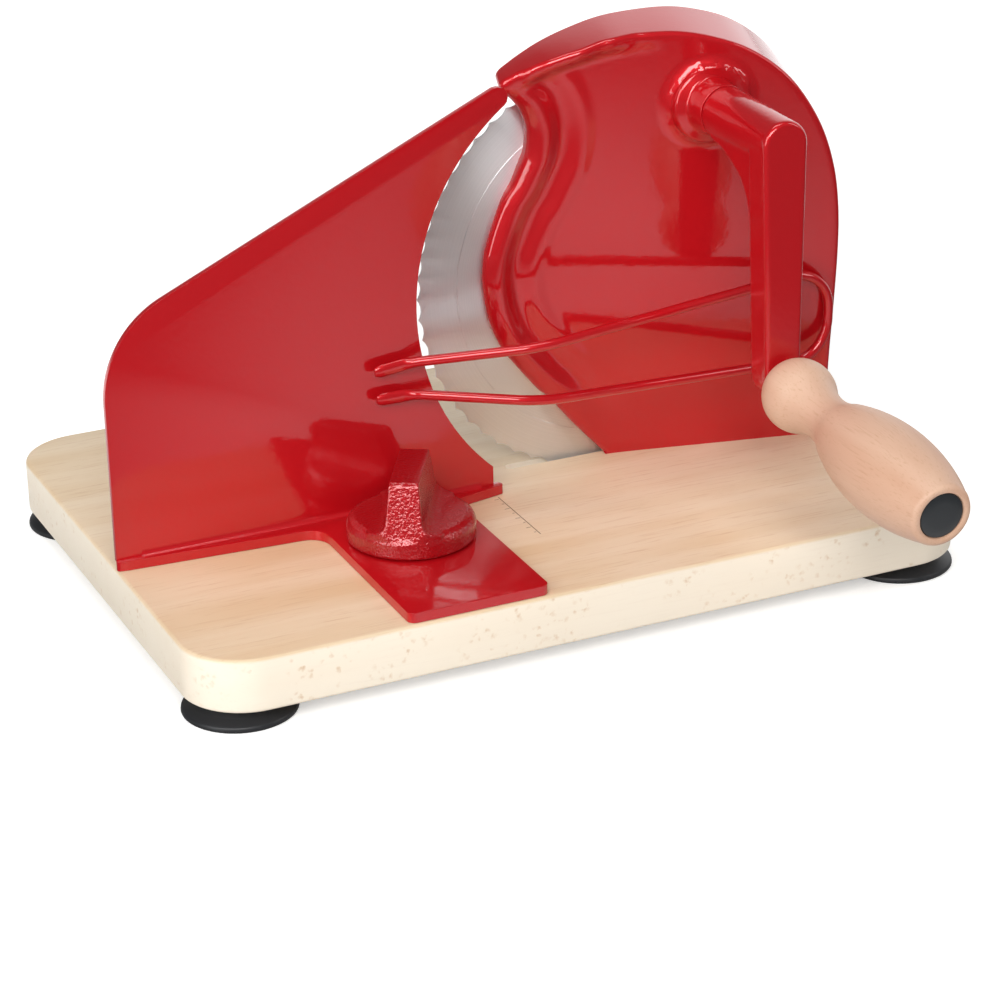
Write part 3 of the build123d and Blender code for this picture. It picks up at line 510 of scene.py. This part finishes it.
def step_between(u, table):
    """Value of a table of (u, value), eased smoothly between its rows."""
    if u <= table[0][0]:
        return table[0][1]
    for (a, va), (b, vb) in zip(table, table[1:]):
        if u <= b:
            f = (u - a) / (b - a)
            return va + (vb - va) * f * f * (3 - 2 * f)
    return table[-1][1]


def plane_y(x, z):
    return -9.2 - A * (x - 74.5) - B * (z - TOP)


def front_of(p, hood):
    """Where a point of the rear outline comes out on the front, pushed square to the face."""
    q = Vector(p)
    for _ in range(12):
        depth = 2 - (plane_y(q.x, q.y) - step_between(q.x, HOOD) if hood else
                     min(plane_y(q.x, q.y), -4.8))
        q = Vector((p[0] - A * depth, p[1] - B * depth))
    return q


def tree_of(points):
    tree = KDTree(len(points))
    for i, p in enumerate(points):
        tree.insert((p.x, p.y, 0), i)
    tree.balance()
    return tree


slice_front = [front_of(p, False) for p in flowing(SLICE, 0.4)]
rim_front = [front_of(p, True) for p in flowing(RIM, 0.4)]
slice_tree, rim_tree = tree_of(slice_front), tree_of(rim_front)


def face_height(x, z):
    """Front of the housing, y at a point: tilted plane, rolled slice band, hood, boss fillet."""
    to_slice = slice_tree.find((x, z, 0))[2]
    to_rim = rim_tree.find((x, z, 0))[2]
    plane = plane_y(x, z)
    gap = plane + 4.8
    y = -4.8 + (gap - math.sqrt(gap * gap + 1.4)) / 2
    band = step_between(to_slice, [(0, -1.4), (5.6, 1.2), (13.5, -1.9), (21.0, 0.5), (26, 0)])
    y -= band * step_between(z, [(34, 0.0), (95, 1.0)]) * step_between(to_rim, [(3, 0), (14, 1)])
    y -= step_between(x, HOOD) * step_between(to_rim, [(2.6, 1), (8.6, 0)]) * step_between(
        z, [(175, 0), (184, 1)])
    y -= step_between((Vector((x, z)) - CRANK).length, [(15.0, 3.2), (16.4, 1.1), (19.5, 0)])
    return y


def offset(points, d):
    """Points of an outline moved d to their left, seen along the way they run."""
    out = []
    for i, p in enumerate(points):
        way = (points[min(i + 1, len(points) - 1)] - points[max(i - 1, 0)]).normalized()
        out.append(p + d * Vector((-way.y, way.x)))
    return out


def relief(bm, curve, floor_z, lift, back, grid, rings, round_r):
    """Closed body behind a sculpted front: an outline in XZ that ends on a flat floor, a fine
    triangle mesh inside it lifted to lift(x, z), and walls square to the face back to y = back."""
    curve = [p for p in curve if p.y > floor_z + 0.3]
    curve = [Vector((curve[0].x, floor_z))] + curve + [Vector((curve[-1].x, floor_z))]
    run = int((curve[0].x - curve[-1].x) / 1.5)
    bottom = [curve[-1].lerp(curve[0], k / run) for k in range(1, run)]
    points, inside = curve + bottom, [0.0] * len(curve) + [None] * len(bottom)
    edges = [(i, (i + 1) % len(points)) for i in range(len(points))]
    for d in rings:
        for p in offset(curve, d)[2:-2]:
            if p.y > floor_z + 0.5:
                points.append(p)
                inside.append(d)
    tree = tree_of(curve + bottom)
    for i in range(int(170 / grid)):
        for k in range(int(190 / grid)):
            p = Vector((-5 + (i + 0.5 * (k % 2)) * grid, floor_z + k * grid))
            if tree.find((p.x, p.y, 0))[2] > (rings[-1] if rings else 0) + 0.55 * grid:
                points.append(p)
                inside.append(None)
    flat, _, faces, origin, _, _ = delaunay_2d_cdt(points, edges, [], 1, 1e-5)
    verts = []
    for p, ids in zip(flat, origin):
        y = lift(p.x, p.y)
        d = inside[ids[0]] if ids else None
        if d is not None and d < round_r and p.y > floor_z + 0.1:
            y += round_r - math.sqrt(round_r ** 2 - (round_r - d) ** 2)
        verts.append(bm.verts.new((p.x, y, p.y)))
    for f in faces:
        bm.faces.new([verts[i] for i in f])
    bmesh.ops.delete(bm, geom=[v for v in bm.verts if not v.link_faces], context="VERTS")
    rim = [e for e in bm.edges if len(e.link_faces) == 1]
    made = bmesh.ops.extrude_edge_only(bm, edges=rim)["geom"]
    for v in made:
        if isinstance(v, bmesh.types.BMVert):
            depth = back - lift(v.co.x, v.co.z)
            z = v.co.z + B * depth if v.co.z > floor_z + 0.1 else floor_z
            v.co = (v.co.x + A * depth, back, z)
    bmesh.ops.holes_fill(bm, edges=[e for e in bm.edges if len(e.link_faces) == 1], sides=0)


bm = bmesh.new()
ends = rim_front[-1], slice_front[-1]
pull = (ends[0] + ends[1]) / 2 + Vector((-3.2, 0.6))
nose = [(1 - u) ** 2 * ends[0] + 2 * u * (1 - u) * pull + u * u * ends[1]
        for u in (0.15, 0.3, 0.45, 0.6, 0.75, 0.9)]
relief(bm, rim_front + nose + slice_front[::-1], TOP, face_height, 2.0, 1.4, (0.12, 0.4, 0.85, 1.4, 2.1), 2.1)
housing = finish_piece("housing_casting", bm, "base", red, ["housing"], 38)
room_rim = [front_of(p, False) for p in offset(flowing(RIM, 2.0), 3.4)[:-4]]
room_slice = [front_of(p, False) for p in offset(flowing(SLICE[::-1], 2.0), 4.6)[8:]]
bm = bmesh.new()
relief(bm, [p for p in room_rim + room_slice], TOP + 4, lambda x, z: face_height(x, z) + 3.0, 3.5,
       4.0, (), 0)
boolean(housing, bm, sharp=38)
bm = bmesh.new()
facing_y = Matrix.Rotation(-math.pi / 2, 4, "X")
at_crank = Matrix.Translation((CRANK.x, 0, CRANK.y)) @ facing_y
boss = [(p.x, p.y) for p in rounded(
    [((7, -8), 0), ((10, -8), 0.5), ((10, -20), 0), ((15.6, -20), 0), ((15.5, -28.9), 1.9),
     ((11.4, -30.6), 1.6), ((10.8, -34), 3.0), ((10.4, -40), 0.3), ((7, -40), 0)], 6)]
lathe(bm, boss + [boss[0]], at_crank)
for x, z, r, front in ((*CUTTER, 8, -9.4), (*IDLER, 7, -15.6)):
    lathe(bm, [(0, front), (r + 2, front), (r, front + 2.6), (r, -6.8), (r - 0.6, -6.2), (0, -6.2)],
          Matrix.Translation((x, 0, z)) @ facing_y, 48)
for (x, y), r in zip(HOUSING_SCREWS, (4, 5, 5)):
    lathe(bm, [(0, TOP + 1), (r, TOP + 1), (r, TOP + 21), (r - 1, TOP + 22), (0, TOP + 22)],
          Matrix.Translation((x, y, 0)), 32)
finish_piece("housing_bosses", bm, "base", red, [])


# Blade: hardened stainless disc, ground in two steps towards a scalloped edge, with a fine
# groove where the grind begins. It is screwed to its axle from the back.
def centred(t, x, z):
    """Object coordinates measured from an axis along Y through (x, z) in millimetres."""
    coord = add(t, "ShaderNodeTexCoord")
    here = add(t, "ShaderNodeVectorMath", {0: coord.outputs["Object"], 1: (x * MM, 0, z * MM)},
               operation="SUBTRACT")
    return add(t, "ShaderNodeVectorMath", {0: here.outputs[0], 1: (1, 0, 1)}, operation="MULTIPLY")


# Brushed steel: fine rings round the axle, which draw every highlight out into a fan.
steel, t = material("ground and brushed stainless steel")
out_from = centred(t, *CUTTER)
radius = add(t, "ShaderNodeVectorMath", {0: out_from.outputs[0]}, operation="LENGTH")
outward = add(t, "ShaderNodeVectorTransform", {0: out_from.outputs[0]}, vector_type="VECTOR",
              convert_from="OBJECT", convert_to="WORLD")
lines = add(t, "ShaderNodeTexNoise", {"W": radius.outputs["Value"], "Scale": 2600.0, "Detail": 3},
            noise_dimensions="1D")
shade = add(t, "ShaderNodeMapRange", {0: lines.outputs[0], 1: 0.3, 2: 0.7, 3: 0.38, 4: 0.50})
tone = add(t, "ShaderNodeMix", {0: lines.outputs[0], 6: srgb("#e6e8ea"), 7: srgb("#fafbfc")},
           data_type="RGBA")
skin = add(t, "ShaderNodeBsdfPrincipled", {"Base Color": tone.outputs[2], "Metallic": 1.0,
                                           "Roughness": shade.outputs[0], "Anisotropic": 0.8,
                                           "Tangent": outward.outputs[0]})
add(t, "ShaderNodeOutputMaterial", {"Surface": skin.outputs[0]})
bm = bmesh.new()
TEETH, PER, BLADE_R, SCALLOP = 62, 8, 85.0, 1.4      # PER: points of the outline for each scallop
front = [(6, 0), (30, 0), (68.2, 0), (68.45, 0.10), (68.7, 0.02), (77.5, 0.42), (None, 1.12)]
rows = []
for r, y in front + [(None, 1.5), (60, 1.5), (6, 1.5)]:
    row = []
    for k in range(TEETH * PER):
        u = (k % PER) / PER
        far = r if r else BLADE_R - SCALLOP * 4 * u * (1 - u)
        a = math.tau * k / (TEETH * PER)
        row.append(bm.verts.new((CUTTER[0] + far * math.cos(a), y, CUTTER[1] + far * math.sin(a))))
    rows.append(row)
for one, two in zip(rows, rows[1:] + rows[:1]):
    for k in range(TEETH * PER):
        n = (k + 1) % (TEETH * PER)
        bm.faces.new((one[k], one[n], two[n], two[k]))
finish_piece("blade_disc", bm, "cutter", steel, ["blade"], 8)

# Blade screw: zinc-plated head with a coin slot, turned from the back to change the blade.
# Zinc plating: bluish silver with a faint mist.
zinc, t = material("bright zinc plating")
coord = add(t, "ShaderNodeTexCoord")
mist = add(t, "ShaderNodeTexNoise", {"Vector": coord.outputs["Object"], "Scale": 700, "Detail": 2})
shade = add(t, "ShaderNodeMapRange", {0: mist.outputs[0], 1: 0.3, 2: 0.7, 3: 0.22, 4: 0.36})
skin = add(t, "ShaderNodeBsdfPrincipled", {"Base Color": srgb("#c3c5c8"), "Metallic": 1.0,
                                           "Roughness": shade.outputs[0]})
add(t, "ShaderNodeOutputMaterial", {"Surface": skin.outputs[0]})
bm = bmesh.new()
head = rounded([((0, 2.6), 0), ((11, 2.6), 0.3), ((11, 4.6), 1.0), ((9.4, 5.4), 1.5), ((0, 5.8), 0)], 5)
lathe(bm, head, Matrix.Translation((CUTTER[0], 0, CUTTER[1])) @ facing_y)
screw = finish_piece("blade_screw_head", bm, "base", zinc, ["blade_screw"])
bm = bmesh.new()
block(bm, (52.8, 4.2, 106.7), (68.8, 7, 108.5))
boolean(screw, bm)

# Crank: cast arm with a round hub, a web swept into the arm and a spacer for the grip, in the
# red coat; a spring pin holds it to the steel shaft.
bm = bmesh.new()
hub = rounded([((0, -40.3), 0), ((10.3, -40.3), 0.5), ((10.2, -44), 4), ((9.3, -88.9), 1.6),
               ((0, -89.2), 0)], 5)
lathe(bm, hub, at_crank)
crank = finish_piece("crank_casting", bm, "crank", enamel("red coat on casting", 0.00005, 0.0020),
                     ["crank_arm"])
bm = bmesh.new()
outline = [CRANK + Vector((9.2 * math.cos(a), 9.2 * math.sin(a)))
           for a in [math.pi * k / 24 for k in range(25)]]
outline += [Vector((CRANK.x + 7.3 * math.cos(a), 84 + 7.3 * math.sin(a)))
            for a in [math.pi + math.pi * k / 20 for k in range(21)]]
caps, walls = prism(bm, outline, -89.2, -75.4, "Y")
soften(bm, {e for f in caps for e in f.edges}, 1.5, 4)
boolean(crank, bm, "UNION")
bm = bmesh.new()
web = [Vector((-44, 178)), Vector((-86, 178)), Vector((-86, 124))] + flowing(
    [(-76, 124), (-75.4, 142), (-68.6, 158.6), (-54, 167.4), (-42, 170)], 3)
caps, walls = prism(bm, [(p.y, p.x) for p in web], CRANK.x - 7.6, CRANK.x + 7.6, "Z")
bmesh.ops.transform(bm, matrix=Matrix(((0, 0, 1, 0), (0, 1, 0, 0), (1, 0, 0, 0), (0, 0, 0, 1))),
                    verts=bm.verts)
boolean(crank, bm, "UNION")
grip_place = (Matrix.Translation((CRANK.x, -89.2, 84)) @ Matrix.Rotation(math.radians(5), 4, "X")
              @ facing_y)
bm = bmesh.new()
lathe(bm, [(0, 6), (7, 6), (7, -1.0), (6.4, -1.6), (0, -1.6)], grip_place, 64)
boolean(crank, bm, "UNION")
melt(crank, 0.55, 8)

# Grip: turned beech, round bulb, narrow neck and long belly, free to spin on its spindle; a
# black cap sits in a recess at its end.
grip_wood = beech("turned beech", "#cda287", "#dcb9a0", "#b98b6a", (1, 0.05, 1), False, 1.2)


def arc(p0, pm, p1, steps):
    """Points of the circle through three points, without the last."""
    (ax, ay), (bx, by), (cx, cy) = p0, pm, p1
    d = 2 * (ax * (by - cy) + bx * (cy - ay) + cx * (ay - by))
    aa, bb, cc = ax * ax + ay * ay, bx * bx + by * by, cx * cx + cy * cy
    ux = (aa * (by - cy) + bb * (cy - ay) + cc * (ay - by)) / d
    uy = (aa * (cx - bx) + bb * (ax - cx) + cc * (bx - ax)) / d
    a0, a1 = math.atan2(ay - uy, ax - ux), math.atan2(cy - uy, cx - ux)
    turn = (a1 - a0 + math.pi) % math.tau - math.pi
    r = math.hypot(ax - ux, ay - uy)
    return [(ux + r * math.cos(a0 + turn * k / steps), uy + r * math.sin(a0 + turn * k / steps))
            for k in range(steps)]


bm = bmesh.new()
outline = [(3.1, -108.5), (3.1, -1.9), (9.6, -1.9)] + arc((10.4, -2.2), (14.3, -10.5), (12.2, -20.5), 16)
outline += arc((12.2, -20.5), (9.4, -32), (12.6, -47.5), 20)
outline += arc((12.6, -47.5), (18.0, -80.55), (12.6, -113.6), 36)
outline += [(12.6, -113.6), (12.35, -115.0), (11.8, -116.2), (10.9, -116.85), (9.9, -116.9), (9.2, -116.6),
            (8.95, -116.0), (8.9, -108.5), (3.1, -108.5)]
lathe(bm, outline, grip_place, 128)
finish_piece("turned_grip", bm, "handle", grip_wood, ["grip"])
cap_black, t = material("black moulded nylon")      # smooth, with a soft highlight
skin = add(t, "ShaderNodeBsdfPrincipled", {"Base Color": srgb("#26292c"), "Roughness": 0.3, "IOR": 1.53})
add(t, "ShaderNodeOutputMaterial", {"Surface": skin.outputs[0]})
bm = bmesh.new()
lathe(bm, [(0, -112.5), (8.9, -112.5), (8.9, -115.6), (8.6, -116.2), (8.0, -116.45), (5, -116.6),
           (0, -116.65)], grip_place)
finish_piece("grip_end_cap", bm, "handle", cap_black, ["grip_cap"])

# Wire guard: 4 mm steel wire bent to a long loop, its two ends flattened into paddles, in the
# red coat; a clamp behind the crank holds it to the housing.
WIRE = [((-53.6, -25.6, 91.9), 0), ((-38.5, -25.7, 93.5), 26), ((8.3, -42.8, 97), 50),
        ((141.2, -33.6, 104.9), 16), ((139.6, -33.6, 66.2), 16), ((8.3, -42.8, 74.7), 50),
        ((-38.5, -25.7, 80.4), 26), ((-53.2, -25.6, 80.5), 0)]
way = []
for a, b in zip(rounded(WIRE, 14), rounded(WIRE, 14)[1:]):
    pieces = max(1, int((b - a).length / 2.0))
    way += [a.lerp(b, k / pieces) for k in range(pieces)]
way.append(Vector(WIRE[-1][0]))
bm = bmesh.new()
along, total = [0.0], 0.0
for a, b in zip(way, way[1:]):
    total += (b - a).length
    along.append(total)
rings = []
for i, (p, s) in enumerate(zip(way, along)):
    ahead = (way[min(i + 1, len(way) - 1)] - way[max(i - 1, 0)]).normalized()
    out = ahead.cross(Vector((0, 0, 1)) if abs(ahead.z) < 0.9 else Vector((-ahead.z, 0, 0)))
    if i and out.dot(last_out) < 0:
        out = -out
    out = (last_out - ahead * last_out.dot(ahead)).normalized() if i else out.normalized()
    last_out = out
    up = ahead.cross(out)
    end = min(s, total - s)
    wide = step_between(end, [(0, 1.7), (1.2, 2.55), (11, 2.55), (16, 2.0)])
    thin = step_between(end, [(0, 0.8), (1.0, 1.25), (11, 1.25), (16, 2.0)])
    rings.append([bm.verts.new(p + out * thin * math.cos(a) + up * wide * math.sin(a))
                  for a in [math.tau * k / 24 for k in range(24)]])
for one, two in zip(rings, rings[1:]):
    for k in range(24):
        bm.faces.new((one[k], one[(k + 1) % 24], two[(k + 1) % 24], two[k]))
bm.faces.new(rings[0])
bm.faces.new(rings[-1])
finish_piece("guard_wire", bm, "base", red, ["wire_guard"], 60)
bm = bmesh.new()
made = block(bm, (112, -31.6, 64), (124, 0, 107))
for v in made:
    if v.co.y > -10:
        v.co.y = plane_y(v.co.x, v.co.z) + 1.5
soften(bm, [e for e in bm.edges if (e.verts[0].co.y + e.verts[1].co.y) / 2 < -31], 0.8)
finish_piece("guard_block_casting", bm, "base", red, ["guard_block"])
bm = bmesh.new()
block(bm, (112.4, -38.6, 62.5), (123.6, -34.6, 108.5))
soften(bm, [e for e in bm.edges if abs(e.verts[0].co.y - e.verts[1].co.y) > 1], 3, 6)
soften(bm, [e for e in bm.edges if e.verts[0].co.y < -38.5 and e.verts[1].co.y < -38.5], 0.7)
finish_piece("guard_clamp_strap", bm, "base", zinc, ["guard_clamp"])
bm = bmesh.new()
lathe(bm, rounded([((0, -38.5), 0), ((4.6, -38.5), 0), ((4.6, -40.6), 1.2), ((0, -41.8), 0)], 5),
      Matrix.Translation((118, 0, 85.5)) @ facing_y, 48)
screw = finish_piece("guard_screw_head", bm, "base", zinc, ["guard_screw"])
for low, high in (((117.5, -43, 82.5), (118.5, -40.4, 88.5)), ((115, -43, 85), (121, -40.4, 86))):
    bm = bmesh.new()
    block(bm, low, high)
    boolean(screw, bm)

# Small parts that hardly show keep their CAD form: gears of white acetal, brass bushes, steel
# shafts, clips and screws.
acetal, t = material("moulded white acetal")      # milky white, a little light enters it
skin = add(t, "ShaderNodeBsdfPrincipled", {"Base Color": srgb("#e9e7e0"), "Roughness": 0.35, "IOR": 1.48,
                                           "Subsurface Weight": 0.1, "Subsurface Scale": 0.002})
add(t, "ShaderNodeOutputMaterial", {"Surface": skin.outputs[0]})
brass, t = material("machined brass")      # warm yellow metal
skin = add(t, "ShaderNodeBsdfPrincipled", {"Base Color": srgb("#d8b36a"), "Metallic": 1.0,
                                           "Roughness": 0.3})
add(t, "ShaderNodeOutputMaterial", {"Surface": skin.outputs[0]})
keep = {acetal: ("drive_gear", "idler_gear", "blade_gear"),
        brass: ("crank_bushes", "blade_bush", "knob_insert"),
        cap_black: ("guide_keys",),
        zinc: ("foot_screws", "clamp_bolt", "knob_washer", "housing_screws", "blade_axle", "blade_washer",
               "blade_rivets", "idler_pin", "idler_clip", "crank_shaft", "thrust_washer", "shaft_clip",
               "shaft_pin", "grip_spindle")}
for mat, names in keep.items():
    for name in names:
        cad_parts[name].data.materials.clear()
        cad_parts[name].data.materials.append(mat)
